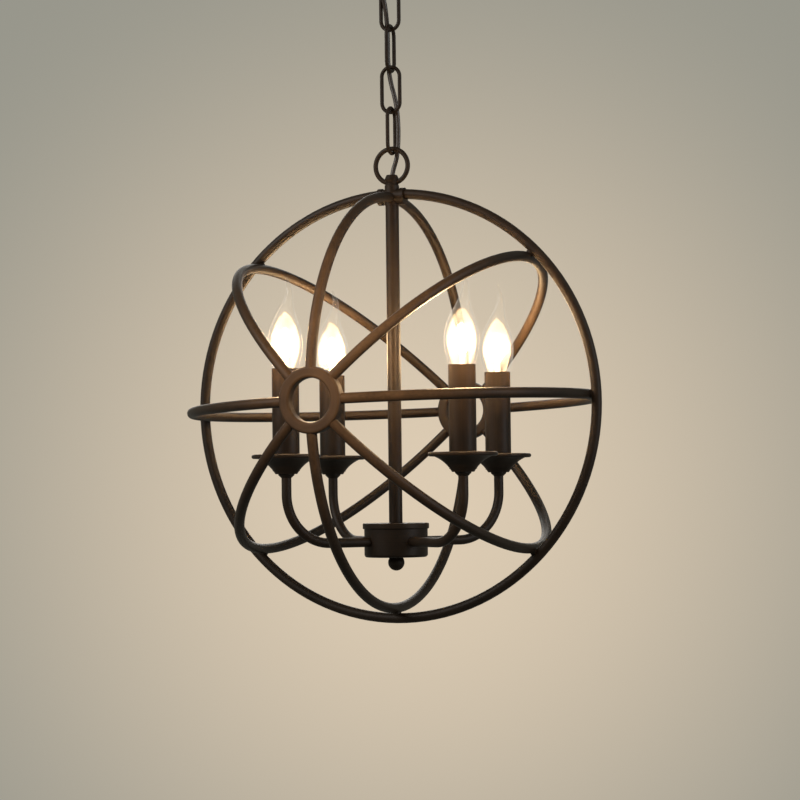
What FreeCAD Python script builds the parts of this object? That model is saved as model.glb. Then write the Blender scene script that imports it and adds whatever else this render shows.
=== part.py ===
import FreeCAD, Part
import math
import os
from FreeCAD import Vector

# Orb chandelier with four candle lights, hung on a chain from a ceiling canopy.
# Millimetres, +Z up. The origin is the centre of the canopy's rim, in the plane of the ceiling.
# The outer ring stands in the XZ plane and the two eyes of the cage face -Y and +Y.

# ---- Clearances ----
seat_gap = 0.3  # between curved faces of pieces that move on each other
slide_gap = 0.3  # round a piece that slides into another one
weld_gap = 0.2  # between two crossing tubes, filled by the weld

# ---- Ceiling set ----
canopy_radius = 57.5
canopy_depth = 30.0
canopy_wall = 1.0
canopy_corner_radius = 14.0
bar_width = 22.0
bar_thickness = 2.0
bar_drop = 8.0  # from the ceiling down to the top of the bar's middle
bar_slope_run = 8.0
bar_foot_length = 17.0
bar_end_length = 8.0  # past the middle of a slot
slot_spacing = 84.0
slot_width = 4.5
slot_length = 10.0
nipple_top_rise = 1.5  # threads that stand proud of the top nut
terminal_length = 18.0
terminal_width = 14.0
terminal_height = 10.0
terminal_offset = 17.0  # from the nipple to the middle of the block
terminal_screw_radius = 1.7
terminal_screw_pitch = 6.0
terminal_screw_depth = 5.0
earth_screw_offset = 17.0
earth_screw_radius = 2.0
earth_head_radius = 3.6
earth_head_height = 2.4
bushing_side = 27.0  # from the nipple's axis to the bushing's, towards the front
bushing_flange_radius = 5.0
bushing_flange_thickness = 1.5
bushing_body_radius = 3.9

# ---- Threaded tube, nuts ----
nipple_radius = 5.0
nipple_bore_radius = 3.8
nut_across_flats = 14.0
nut_thickness = 3.0

# ---- Loops and chain ----
loop_ring_radius = 18.0  # to the middle of its wire
loop_wire = 5.0
loop_rise = 23.5  # from the foot of the neck to the middle of the ring
loop_foot_radius = 7.6
loop_foot_height = 2.5
loop_waist_radius = 6.4
loop_waist_height = 5.0
loop_cup_radius = 7.7
loop_cup_height = 9.5
loop_neck_height = 14.0
loop_mouth_radius = 5.6
loop_bore_radius = 3.5
loop_socket_depth = 7.0
link_count = 4
link_length = 51.3
link_width = 24.0
link_wire = 4.0
link_seam_gap = 0.4
link_seam_height = 13.0  # above the bottom of the link

# ---- Cord ----
cord_radius = 2.4
cord_bend_share = 0.45  # of the shorter run beside a corner
cord_lead_radius = 1.3

# ---- Crown, where the rings, the stem and the loop meet ----
crown_length = 29.0
crown_barrel_radius = 7.7
crown_collar_radius = 8.75
crown_collar_length = 4.5
crown_boss_radius = 7.6
crown_rise = 8.5
crown_fall = 9.0
crown_drop = 2.0  # of the barrel's axis below the middle of the outer ring's ends

# ---- Cage ----
orb_radius = 225.0
ring_tube_radius = 5.25
ring_tube_wall = 1.0
vertical_arc_rise = 7.0  # of the upper arcs' centre above the orb's centre
diagonal_angle = 45.0
horizontal_lean = 1.9  # degrees that the level ring is turned on the eyes
eye_radius = 32.5
eye_hole_radius = 21.5
eye_depth = 12.0
eye_seat = 3.3  # of an eye's width outside the middle line of the rings that end in it
eye_round = 2.5
weld_radius = 4.6

# ---- Stem and hub ----
stem_radius = 7.0
hub_top = 121.5  # below the orb's centre
hub_bottom = 156.7
hub_radius = 32.85
hub_wall = 1.5
hub_round = 3.0
lid_wall = 1.5
lid_lip_height = 6.0
lid_thickness = 2.0
lid_round = 1.2
finial_radius = 8.5
finial_sink = 3.0  # of the ball's top, cut off flat under the hub
stem_grip = 12.0  # length of thread inside each end of the stem
lead_window_radius = 2.6

# ---- Arms ----
arm_count = 4
arm_turn = 54.2  # degrees from +X to the first arm
arm_radius = 5.0
arm_bore_radius = 4.0
arm_level = 140.6  # below the orb's centre
arm_reach = 128.8
arm_bend_radius = 50.0
arm_nut_reach = 2.0  # of the arm's end past the nut inside the hub
arm_flange_radius = 8.2
arm_flange_height = 4.0
arm_flange_edge = 1.0

# ---- Candles ----
pan_bottom = 70.0  # below the orb's centre
pan_radius = 35.0
pan_height = 20.0
pan_floor = 3.0
pan_wall = 1.5
pan_collar_radius = 9.0
pan_collar_height = 1.6
pan_shoulder_height = 7.0
pan_shoulder_bulge = 1.2
pan_cup_height = 9.5
pan_dish_bulge = 1.5
pan_bead_radius = 2.2
sleeve_radius = 13.7
sleeve_wall = 1.1
sleeve_top = 36.7  # above the orb's centre
holder_gap = 0.6  # round the lampholder inside the sleeve
holder_recess = 13.0  # of the lampholder's top below the sleeve's
arm_in_holder = 2.0
holder_channel_radius = 2.0
shell_wall = 0.5
shell_length = 22.0
holder_contact_radius = 3.0
holder_contact_height = 1.7

# ---- Bulbs ----
cap_recess = 10.0  # of the cap's top below the sleeve's
cap_length = 23.0
cap_thread_radius = 6.95
cap_root_radius = 6.5
cap_flare_radius = 7.6
cap_bore_radius = 5.9
cap_thread_pitch = 2.822
cap_thread_turns = 5
cap_taper_height = 3.5
cap_tip_radius = 3.4
cap_floor = 4.5
cap_shoulder = 0.5  # of height from the last thread turn to the plain skirt
cap_flare_height = 2.0
contact_radius = 2.6
contact_height = 2.0
contact_dome_radius = 3.4
glass_wall = 0.9
flame_bend_direction = 22.7  # degrees from +X
# height above the sleeve, radius, sideways shift of the bent flame's axis
flame_outline = [
    (-10.0, 6.9, 0.0),
    (-6.0, 8.4, 0.0),
    (0.0, 12.0, 0.0),
    (10.0, 15.9, 0.0),
    (20.0, 17.4, 0.0),
    (29.0, 17.4, 0.0),
    (38.0, 15.8, 0.1),
    (47.0, 12.6, 0.4),
    (55.0, 9.3, 1.1),
    (63.0, 6.4, 2.6),
    (71.0, 4.3, 4.2),
    (79.0, 3.0, 4.8),
    (86.0, 2.0, 3.6),
    (92.0, 0.9, 1.6),
]
flame_cavity_sections = 10  # the tip above them is solid glass

# ---- Heights and places in the ceiling set ----
bar_length = slot_spacing + 2 * bar_end_length
bar_underside = -bar_drop - bar_thickness
bushing_x = -terminal_offset
bushing_y = -bushing_side
terminal_mouth = bar_underside - terminal_height / 2

# ---- Heights along the chain, worked out from the ceiling down ----
ceiling_loop_foot = -canopy_depth
ceiling_ring_height = ceiling_loop_foot - loop_rise
link_pitch = link_length - 2 * link_wire - seat_gap
first_link_top = ceiling_ring_height - loop_ring_radius + loop_wire / 2 + seat_gap + link_wire
link_tops = [first_link_top - n * link_pitch for n in range(link_count)]
link_bottoms = [top - link_length for top in link_tops]
hinge_heights = [ceiling_ring_height - loop_ring_radius]
hinge_heights += [bottom + link_wire / 2 for bottom in link_bottoms]
lamp_ring_top = link_bottoms[-1] + link_wire + seat_gap + loop_wire
lamp_ring_height = lamp_ring_top - loop_wire / 2 - loop_ring_radius
lamp_loop_foot = lamp_ring_height - loop_rise
crown_height = lamp_loop_foot - crown_rise

# ---- The orb's centre hangs where the crown holds the ends of the outer ring ----
outer_ring_radius = orb_radius - ring_tube_radius
inner_ring_radius = outer_ring_radius - 2 * ring_tube_radius - weld_gap
eye_reach = math.sqrt(inner_ring_radius**2 - (eye_radius - eye_seat) ** 2)
outer_ring_end = math.sqrt(outer_ring_radius**2 - (crown_length / 2) ** 2)
orb_height = crown_height - (outer_ring_end - crown_drop)

hub_top_height = orb_height - hub_top
hub_bottom_height = orb_height - hub_bottom
arm_height = orb_height - arm_level
pan_bottom_height = orb_height - pan_bottom
pan_floor_height = pan_bottom_height + pan_floor
sleeve_top_height = orb_height + sleeve_top
holder_bottom_height = pan_floor_height + nut_thickness
holder_top_height = sleeve_top_height - holder_recess
arm_top_height = holder_bottom_height + arm_in_holder
cap_top_height = sleeve_top_height - cap_recess
cap_bottom_height = cap_top_height - cap_length
contact_bottom_height = cap_bottom_height - contact_height
shell_bore_radius = cap_thread_radius + slide_gap
holder_radius = sleeve_radius - sleeve_wall - holder_gap
holder_well_bottom = contact_bottom_height - seat_gap - holder_contact_height
lid_plate_bottom = hub_top_height - lid_thickness
finial_socket_depth = finial_radius - finial_sink
lid_lip_radius = hub_radius + lid_wall
arm_nut_face = math.sqrt((hub_radius - hub_wall) ** 2 - (nut_across_flats / math.sqrt(3)) ** 2)
arm_start = arm_nut_face - nut_thickness - arm_nut_reach

# ---- Route of the cord, from the terminal block, down beside the chain, to the hub ----
cord_points = [
    Vector(bushing_x, -terminal_length / 2, terminal_mouth),
    Vector(bushing_x, -20.0, terminal_mouth),
    Vector(bushing_x, bushing_y, -canopy_depth + 7.5),
    Vector(bushing_x, bushing_y, -canopy_depth - 14.0),
    Vector(-5.5, -5.8, hinge_heights[0] + 0.3),
    Vector(-4.8, 5.8, hinge_heights[1] + 4.3),
    Vector(-5.6, 5.6, hinge_heights[2] - 0.3),
    Vector(5.6, 5.8, hinge_heights[3] + 4.3),
    Vector(5.4, 5.8, hinge_heights[4] - 0.3),
    Vector(0, 0, lamp_loop_foot + loop_neck_height + 1.5),
    Vector(0, 0, arm_height),
]
first_chain_run = 4  # the run from this point lies beside the first link

ORIGIN = Vector(0, 0, 0)
X_AXIS = Vector(1, 0, 0)
Y_AXIS = Vector(0, 1, 0)
Z_AXIS = Vector(0, 0, 1)
ORB_CENTRE = Vector(0, 0, orb_height)


def rod(radius, start, end):
    """Solid round bar between two points."""
    way = end - start
    return Part.makeCylinder(radius, way.Length, start, way)


def level_way(angle):
    """Level direction at an angle in degrees from +X."""
    return Vector(math.cos(math.radians(angle)), math.sin(math.radians(angle)), 0)


def upright(radius, low, high, x=0.0, y=0.0):
    """Solid round bar along Z."""
    return rod(radius, Vector(x, y, low), Vector(x, y, high))


def block(low, high):
    """Box between two opposite corners."""
    size = high - low
    return Part.makeBox(size.x, size.y, size.z, low)


def fused(solids):
    """One solid from solids that overlap or meet."""
    return solids[0].multiFuse(solids[1:]).removeSplitter()


def spun(outline):
    """Solid turned about Z. A step of the outline is (radius, height), or two points for an arc."""
    edges = []
    here = outline[0]
    for step in outline[1:] + [outline[0]]:
        if isinstance(step[0], tuple):
            points = [Vector(r, 0, z) for r, z in (here, step[0], step[1])]
            edges.append(Part.Arc(*points).toShape())
            here = step[1]
        elif step != here:
            ends = [Vector(r, 0, z) for r, z in (here, step)]
            edges.append(Part.LineSegment(*ends).toShape())
            here = step
    return Part.Face(Part.Wire(edges)).revolve(ORIGIN, Z_AXIS, 360)


def rounded_path(points, cuts):
    """Straight runs through points, joined by tangent arcs.

    cuts gives the length of run that the arc at each inner point takes on both sides of it.
    Returns the edges and the radii of the arcs.
    """
    edges = []
    radii = []
    here = points[0]
    for before, corner, after, cut in zip(points, points[1:], points[2:], cuts):
        way_in = (corner - before).normalize()
        way_out = (after - corner).normalize()
        half_turn = way_in.getAngle(way_out) / 2
        radius = cut / math.tan(half_turn)
        start = corner - way_in * cut
        end = corner + way_out * cut
        inward = (way_out - way_in).normalize()
        middle = corner + inward * (radius / math.cos(half_turn) - radius)
        edges.append(Part.LineSegment(here, start).toShape())
        edges.append(Part.Arc(start, middle, end).toShape())
        radii.append(radius)
        here = end
    edges.append(Part.LineSegment(here, points[-1]).toShape())
    return edges, radii


def swept(edges, radius):
    """Round bar along a path of joined edges."""
    path = Part.Wire(edges)
    start = edges[0].valueAt(edges[0].FirstParameter)
    way = edges[0].tangentAt(edges[0].FirstParameter)
    section = Part.Wire(Part.makeCircle(radius, start, way))
    return path.makePipeShell([section], True, False)


def arc_step(start, end, bulge):
    """Outline step for an arc that stands off its chord by bulge, to the right of the way."""
    length = math.dist(start, end)
    across = ((end[1] - start[1]) / length, (start[0] - end[0]) / length)
    middle = ((start[0] + end[0]) / 2 + across[0] * bulge, (start[1] + end[1]) / 2 + across[1] * bulge)
    return (middle, end)


def circles(solid, radius):
    """The full-circle edges of that radius."""
    found = [e for e in solid.Edges if isinstance(e.Curve, Part.Circle) and e.Closed]
    return [e for e in found if abs(e.Curve.Radius - radius) < 1e-6]


def lowest_circle(solid, radius):
    """The lowest full-circle edge of that radius."""
    return min(circles(solid, radius), key=lambda edge: edge.Curve.Center.z)


def hex_nut(face_height):
    """Thin nut round the Z axis, standing on face_height, its hole filled by the threaded tube."""
    corner_radius = nut_across_flats / math.sqrt(3)
    corners = []
    for angle in range(0, 361, 60):
        way = level_way(angle)
        corners.append(way * corner_radius + Z_AXIS * face_height)
    prism = Part.Face(Part.makePolygon(corners)).extrude(Z_AXIS * nut_thickness)
    return prism.cut(upright(nipple_radius, face_height, face_height + nut_thickness))


def threaded_tube(low, high):
    """Hollow threaded tube on the Z axis."""
    return upright(nipple_radius, low, high).cut(upright(nipple_bore_radius, low, high))


def slot(x):
    """Cutter for a long hole through a foot of the ceiling bar."""
    reach = (slot_length - slot_width) / 2
    radius = slot_width / 2
    ends = [upright(radius, -bar_thickness, 0, x - reach), upright(radius, -bar_thickness, 0, x + reach)]
    middle = block(Vector(x - reach, -radius, -bar_thickness), Vector(x + reach, radius, 0))
    return fused(ends + [middle])


def ceiling_bar():
    """Steel strap with its middle dropped, so that the nut and the thread clear the ceiling."""
    end = bar_length / 2
    shoulder = end - bar_foot_length
    middle = shoulder - bar_slope_run
    top = [(-end, 0), (-shoulder, 0), (-middle, -bar_drop), (middle, -bar_drop), (shoulder, 0), (end, 0)]
    under = [(x, z - bar_thickness) for x, z in reversed(top)]
    corners = [Vector(x, -bar_width / 2, z) for x, z in top + under + top[:1]]
    strap = Part.Face(Part.makePolygon(corners)).extrude(Y_AXIS * bar_width)
    holes = [
        upright(nipple_radius, bar_underside, -bar_drop),
        upright(earth_screw_radius, bar_underside, -bar_drop, earth_screw_offset),
        slot(-slot_spacing / 2),
        slot(slot_spacing / 2),
    ]
    return strap.cut(holes)


def dish(radius, depth, corner_radius):
    """Upside-down round tray with a rounded bottom edge, its rim in the ceiling plane."""
    solid = upright(radius, -depth, 0)
    return solid.makeFillet(corner_radius, [lowest_circle(solid, radius)])


def canopy():
    inner = dish(canopy_radius - canopy_wall, canopy_depth - canopy_wall, canopy_corner_radius - canopy_wall)
    bottom = -canopy_depth
    holes = [
        upright(nipple_radius, bottom, bottom + canopy_wall),
        upright(bushing_body_radius, bottom, bottom + canopy_wall, bushing_x, bushing_y),
    ]
    return dish(canopy_radius, canopy_depth, canopy_corner_radius).cut(inner).cut(holes)


def cord_bushing():
    """Plastic grommet with a flange on each side of the canopy's wall."""
    outside = -canopy_depth
    inside = outside + canopy_wall
    low = outside - bushing_flange_thickness
    high = inside + bushing_flange_thickness
    pieces = [
        upright(bushing_flange_radius, low, outside, bushing_x, bushing_y),
        upright(bushing_body_radius, low, high, bushing_x, bushing_y),
        upright(bushing_flange_radius, inside, high, bushing_x, bushing_y),
    ]
    return fused(pieces).cut(upright(cord_radius + slide_gap, low, high, bushing_x, bushing_y))


def terminal_places():
    """Middle of each clamping screw, along the block."""
    return [Vector(-terminal_offset, n * terminal_screw_pitch, 0) for n in (-1, 0, 1)]


def terminal_block():
    half = Vector(terminal_width / 2, terminal_length / 2, terminal_height / 2)
    middle = Vector(-terminal_offset, 0, terminal_mouth)
    body = block(middle - half, middle + half)
    bottom = (middle - half).z
    wells = [
        upright(terminal_screw_radius, bottom, bottom + terminal_screw_depth, p.x, p.y)
        for p in terminal_places()
    ]
    return body.cut(wells)


def terminal_screws():
    """Three clamping screws in the block, and the earth screw in the bar."""
    block_bottom = bar_underside - terminal_height
    screws = [
        upright(terminal_screw_radius, block_bottom, block_bottom + terminal_screw_depth, p.x, p.y)
        for p in terminal_places()
    ]
    head_bottom = bar_underside - earth_head_height
    head = upright(earth_head_radius, head_bottom, bar_underside, earth_screw_offset)
    shank = upright(earth_screw_radius, bar_underside, -bar_drop, earth_screw_offset)
    return screws + [fused([head, shank])]


def loop():
    """Hanging ring with its hollow neck, foot at the origin, ring above it in the XZ plane."""
    neck = spun(
        [
            (0, 0),
            (loop_foot_radius, 0),
            (loop_foot_radius, loop_foot_height),
            (loop_waist_radius, loop_waist_height),
            (loop_cup_radius, loop_cup_height),
            (loop_mouth_radius, loop_neck_height),
            (0, loop_neck_height),
        ]
    )
    ring = Part.makeTorus(loop_ring_radius, loop_wire / 2, Vector(0, 0, loop_rise), Y_AXIS)
    bore = upright(loop_bore_radius, 0, loop_neck_height)
    socket = upright(nipple_radius, 0, loop_socket_depth)
    return fused([neck, ring]).cut([bore, socket])


def chain_link(top, turned):
    """Welded wire link hanging from its top, in the XZ plane or turned into the YZ plane."""
    wire = link_wire / 2
    bow = link_width / 2 - wire
    high = top - link_width / 2
    low = top - link_length + link_width / 2
    section = Part.Face(Part.Wire(Part.makeCircle(wire, Vector(bow, 0, high), Z_AXIS)))
    upper = section.revolve(Vector(0, 0, high), -Y_AXIS, 180)
    lower = section.translated(Vector(0, 0, low - high)).revolve(Vector(0, 0, low), Y_AXIS, 180)
    sides = [upright(wire, low, high, bow), upright(wire, low, high, -bow)]
    link = fused([upper, lower] + sides)
    seam = top - link_length + link_seam_height
    seam_low = Vector(-bow - link_wire, -link_wire, seam - link_seam_gap / 2)
    seam_high = Vector(-bow + link_wire, link_wire, seam + link_seam_gap / 2)
    link = link.cut(block(seam_low, seam_high))
    if turned:
        link.rotate(ORIGIN, Z_AXIS, 90)
    return link


def cord_cuts():
    """Length of run that the arc at each inner point of the cord takes on both sides of it."""
    runs = [(after - before).Length for before, after in zip(cord_points, cord_points[1:])]
    return [cord_bend_share * min(pair) for pair in zip(runs, runs[1:])]


def cord_spans():
    """Points and arcs' cuts of each span. The cord is cut square across halfway along each link."""
    cuts = cord_cuts()
    spans = []
    start = cord_points[0]
    first = 1
    for last in range(first_chain_run, first_chain_run + link_count):
        middle = (cord_points[last] + cord_points[last + 1]) * 0.5
        spans.append(([start] + cord_points[first : last + 1] + [middle], cuts[first - 1 : last]))
        start = middle
        first = last + 1
    spans.append(([start] + cord_points[first:], cuts[first - 1 :]))
    return spans


def cord_span(number, points, cuts):
    edges, radii = rounded_path(points, cuts)
    solid = swept(edges, cord_radius)
    length = sum(e.Length for e in edges)
    share = solid.Volume / (math.pi * cord_radius**2 * length)
    listed = ", ".join(f"{r:.0f}" for r in radii)
    print(f"cord span {number}: {length:.1f} mm, arcs {listed} mm, volume {share:.4f} of section x length")
    return solid


def crown():
    """Cross-shaped joint: a barrel along X with a collar at each end, and an upright boss."""
    middle = Vector(0, 0, crown_height)
    pieces = [upright(crown_boss_radius, crown_height - crown_fall, crown_height + crown_rise)]
    for way in (-X_AXIS, X_AXIS):
        end = middle + way * crown_length / 2
        pieces.append(rod(crown_barrel_radius, middle, end))
        pieces.append(rod(crown_collar_radius, end - way * crown_collar_length, end))
    return fused(pieces)


def crown_joint():
    bore = upright(nipple_radius, crown_height - crown_fall, crown_height + crown_rise)
    return crown().cut(bore)


def ring_of_tube(radius, centre, angle):
    """Hollow ring through the Y axis, turned about that axis by an angle from level."""
    axis = Vector(math.sin(math.radians(angle)), 0, math.cos(math.radians(angle)))
    outside = Part.makeTorus(radius, ring_tube_radius, centre, axis)
    inside = Part.makeTorus(radius, ring_tube_radius - ring_tube_wall, centre, axis)
    return outside.cut(inside)


def outer_ring():
    """Upright ring, open at the top where the crown joins its ends."""
    outside = Part.makeTorus(outer_ring_radius, ring_tube_radius, ORB_CENTRE, Y_AXIS)
    inside = Part.makeTorus(outer_ring_radius, ring_tube_radius - ring_tube_wall, ORB_CENTRE, Y_AXIS)
    half = crown_length / 2
    low = ORB_CENTRE + Vector(-half, -orb_radius, 0)
    high = ORB_CENTRE + Vector(half, orb_radius, 2 * orb_radius)
    return outside.cut(inside).cut(block(low, high))


def eye_disc(side, radius):
    """Disc as deep as an eye, at its place."""
    start = ORB_CENTRE + Y_AXIS * (side * eye_reach - eye_depth / 2)
    return rod(radius, start, start + Y_AXIS * eye_depth)


def eye_blank(side):
    """Rounded disc that an eye is bored from."""
    disc = eye_disc(side, eye_radius)
    return disc.makeFillet(eye_round, circles(disc, eye_radius))


def eye(side):
    ring = eye_blank(side).cut(eye_disc(side, eye_hole_radius))
    return ring.makeFillet(eye_round, circles(ring, eye_hole_radius))


def eye_cutters():
    """What a ring's ends are shaped by, so that they close on the eyes."""
    cutters = []
    for side in (-1, 1):
        middle = ORB_CENTRE + Y_AXIS * side * eye_reach
        core = rod(eye_radius - eye_round, middle - Y_AXIS * 2 * eye_depth, middle + Y_AXIS * 2 * eye_depth)
        cutters.append(fused([eye_blank(side), core]))
    return cutters


def half_rings(angle):
    """The two halves of an inner ring, each from the front eye to the rear eye."""
    return ring_of_tube(inner_ring_radius, ORB_CENTRE, angle).cut(eye_cutters())


def half_space(above):
    """Block that holds everything above or below the orb's centre."""
    reach = 2 * orb_radius
    low = ORB_CENTRE + Vector(-reach, -reach, 0 if above else -reach)
    return block(low, low + Vector(2 * reach, 2 * reach, reach))


def vertical_ring():
    """A lower half ring, and two upper arcs that rise to the crown."""
    lower = ring_of_tube(inner_ring_radius, ORB_CENTRE, 90).cut([half_space(True)] + eye_cutters())
    raised = ORB_CENTRE + Z_AXIS * vertical_arc_rise
    stem_space = upright(stem_radius, orb_height, crown_height)
    upper = ring_of_tube(inner_ring_radius, raised, 90)
    upper = upper.cut([half_space(False), crown(), stem_space] + eye_cutters())
    return Part.makeCompound(lower.Solids + upper.Solids)


def ring_welds():
    """A weld in each crossing of an inner ring and the outer ring."""
    crossings = [horizontal_lean, 180 + horizontal_lean, 270]
    crossings += [diagonal_angle + 90 * n for n in range(4)]
    outer = Part.makeTorus(outer_ring_radius, ring_tube_radius, ORB_CENTRE, Y_AXIS)
    inner = Part.makeTorus(inner_ring_radius, ring_tube_radius, ORB_CENTRE, Z_AXIS)
    reach = (outer_ring_radius + inner_ring_radius) / 2
    blob = Part.makeSphere(weld_radius, ORB_CENTRE + X_AXIS * reach)
    weld = blob.cut([outer, inner])
    welds = []
    for angle in crossings:
        turned = weld.copy()
        turned.rotate(ORB_CENTRE, -Y_AXIS, angle)
        welds += turned.Solids
    return welds


def stem():
    top = crown_height - crown_fall
    return upright(stem_radius, hub_top_height, top).cut(upright(nipple_radius, hub_top_height, top))


def stem_nipples():
    """The short threaded tube in the crown, and the long one that holds the hub together."""
    upper = threaded_tube(crown_height - crown_fall - stem_grip, lamp_loop_foot + loop_socket_depth)
    lower = threaded_tube(hub_bottom_height - finial_socket_depth, hub_top_height + stem_grip)
    middle = Vector(0, 0, arm_height)
    windows = [rod(lead_window_radius, middle, middle + way * stem_radius) for way in arm_ways()]
    return [upper, lower.cut(windows)]


def finial():
    """Ball with a flat on top and a socket for the long nipple."""
    centre = Vector(0, 0, hub_bottom_height - finial_socket_depth)
    reach = Vector(finial_radius, finial_radius, finial_radius)
    above_flat = block(Vector(-finial_radius, -finial_radius, hub_bottom_height), centre + reach)
    socket = upright(nipple_radius, centre.z, hub_bottom_height)
    return Part.makeSphere(finial_radius, centre).cut([above_flat, socket])


def hub_cup():
    """Drum with a rounded bottom edge, open at the top."""
    inner = hub_radius - hub_wall
    top = lid_plate_bottom
    bottom = hub_bottom_height
    drum = upright(hub_radius, bottom, top)
    drum = drum.makeFillet(hub_round, [lowest_circle(drum, hub_radius)])
    holes = [upright(inner, bottom + hub_wall, top), upright(nipple_radius, bottom, bottom + hub_wall)]
    middle = Vector(0, 0, arm_height)
    for way in arm_ways():
        holes.append(rod(arm_radius, middle + way * inner / 2, middle + way * lid_lip_radius))
    return drum.cut(holes)


def hub_lid():
    """Cover that laps over the drum's top edge."""
    lip_bottom = hub_top_height - lid_lip_height
    disc = upright(lid_lip_radius, lip_bottom, hub_top_height)
    disc = disc.makeFillet(lid_round, circles(disc, lid_lip_radius))
    hollow = upright(hub_radius, lip_bottom, lid_plate_bottom)
    return disc.cut([hollow, upright(nipple_radius, lip_bottom, hub_top_height)])


def arm_angles():
    return [arm_turn + 360 / arm_count * n for n in range(arm_count)]


def arm_ways():
    """Level direction of each arm."""
    return [level_way(angle) for angle in arm_angles()]


def arm_path(start, top):
    """Level run out from the hub, bend, and upright run, in the XZ plane."""
    points = [Vector(start, 0, arm_height), Vector(arm_reach, 0, arm_height), Vector(arm_reach, 0, top)]
    edges, _ = rounded_path(points, [arm_bend_radius])
    return edges


def arm():
    """Bent tube with a flange under its drip pan."""
    tube = swept(arm_path(arm_start, arm_top_height), arm_radius)
    bottom = pan_bottom_height - arm_flange_height
    flange = spun(
        [
            (0, bottom),
            (arm_radius, bottom),
            (arm_flange_radius, pan_bottom_height - arm_flange_edge),
            (arm_flange_radius, pan_bottom_height),
            (0, pan_bottom_height),
        ]
    )
    flange.translate(X_AXIS * arm_reach)
    return fused([tube, flange]).cut(swept(arm_path(arm_start, arm_top_height), arm_bore_radius))


def arm_lead():
    """Wire from the cord's end, through the arm, to the lampholder's centre contact."""
    return swept(arm_path(cord_radius + slide_gap, holder_well_bottom), cord_lead_radius)


def arm_nut():
    """Nut on the arm's end inside the hub."""
    nut = hex_nut(0)
    nut.rotate(ORIGIN, Y_AXIS, 90)
    nut.translate(Vector(arm_nut_face - nut_thickness, 0, arm_height))
    return nut


def drip_pan():
    """Spun dish with an ogee underside, a small cup for the sleeve and a rolled rim."""
    low = pan_bottom_height
    cup_inner = sleeve_radius + slide_gap
    cup_outer = cup_inner + pan_wall
    cup_top = low + pan_cup_height
    bead = pan_radius - pan_bead_radius
    bead_height = low + pan_height - pan_bead_radius
    collar_edge = (pan_collar_radius, low + pan_collar_height)
    cup_edge = (cup_outer, cup_top)
    rim_under = (bead, bead_height - pan_bead_radius + pan_wall)
    rim_over = (bead, bead_height - pan_bead_radius + 2 * pan_wall)
    outline = [
        (arm_radius, low),
        (pan_collar_radius, low),
        collar_edge,
        arc_step(collar_edge, (cup_outer, low + pan_shoulder_height), pan_shoulder_bulge),
        cup_edge,
        arc_step(cup_edge, rim_under, pan_dish_bulge),
        rim_over,
        arc_step(rim_over, (cup_inner, cup_top + pan_wall), -pan_dish_bulge),
        (cup_inner, pan_floor_height),
        (arm_radius, pan_floor_height),
    ]
    rim = Part.makeTorus(bead, pan_bead_radius, Vector(0, 0, bead_height), Z_AXIS)
    return fused([spun(outline), rim])


def candle_sleeve():
    tube = upright(sleeve_radius, pan_floor_height, sleeve_top_height)
    return tube.cut(upright(sleeve_radius - sleeve_wall, pan_floor_height, sleeve_top_height))


def lampholder():
    """Insulating body with a well for the screw shell and a channel for the wire."""
    body = upright(holder_radius, holder_bottom_height, holder_top_height)
    well = upright(shell_bore_radius + shell_wall, holder_well_bottom, holder_top_height)
    socket = upright(arm_radius, holder_bottom_height, arm_top_height)
    channel = upright(holder_channel_radius, holder_bottom_height, holder_well_bottom)
    return body.cut([well, socket, channel])


def holder_contacts():
    """Screw shell and centre contact of one lampholder."""
    shell_top = holder_top_height
    shell = upright(shell_bore_radius + shell_wall, shell_top - shell_length, shell_top)
    shell = shell.cut(upright(shell_bore_radius, shell_top - shell_length, shell_top))
    contact = upright(holder_contact_radius, holder_well_bottom, holder_well_bottom + holder_contact_height)
    return [shell, contact]


def bulb_cap():
    """Screw cap with rounded-off thread turns."""
    bottom = cap_bottom_height
    thread_start = bottom + cap_taper_height
    outline = [(0, bottom), (cap_tip_radius, bottom), (cap_root_radius, thread_start)]
    for turn in range(cap_thread_turns):
        start = thread_start + turn * cap_thread_pitch
        crest = (cap_thread_radius, start + cap_thread_pitch / 2)
        outline.append((crest, (cap_root_radius, start + cap_thread_pitch)))
    thread_end = thread_start + cap_thread_turns * cap_thread_pitch
    outline += [
        (cap_thread_radius, thread_end + cap_shoulder),
        (cap_thread_radius, cap_top_height - cap_flare_height),
        (cap_flare_radius, cap_top_height),
        (cap_bore_radius, cap_top_height),
        (cap_bore_radius, bottom + cap_floor),
        (0, bottom + cap_floor),
    ]
    return spun(outline)


def bulb_contact():
    """Centre contact under the cap, domed on its underside."""
    ball = Part.makeSphere(contact_dome_radius, Vector(0, 0, contact_bottom_height + contact_dome_radius))
    return ball.common(upright(contact_radius, contact_bottom_height, cap_bottom_height))


def flame(sections, inset):
    """Loft of a bent flame shape, drawn in from its outside."""
    way = level_way(flame_bend_direction)
    rims = []
    for height, radius, shift in sections:
        centre = way * shift + Z_AXIS * (sleeve_top_height + height)
        rims.append(Part.Wire(Part.makeCircle(radius - inset, centre, Z_AXIS)))
    return Part.makeLoft(rims, True, False)


def bulb_glass():
    """Hollow flame, closed at its foot."""
    foot_height, foot_radius, foot_shift = flame_outline[0]
    floor = (foot_height + glass_wall, foot_radius, foot_shift)
    cavity = flame([floor] + flame_outline[1:flame_cavity_sections], glass_wall)
    return flame(flame_outline, 0.0).cut(cavity)


def at_arm(shape, angle):
    """Copy of a shape modelled on the +X arm, turned onto another arm."""
    turned = shape.copy()
    turned.rotate(ORIGIN, Z_AXIS, angle)
    return turned


def at_candle(shape, way):
    """Copy of a shape modelled on the Z axis, moved to the top of an arm."""
    return shape.translated(way * arm_reach)


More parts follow.
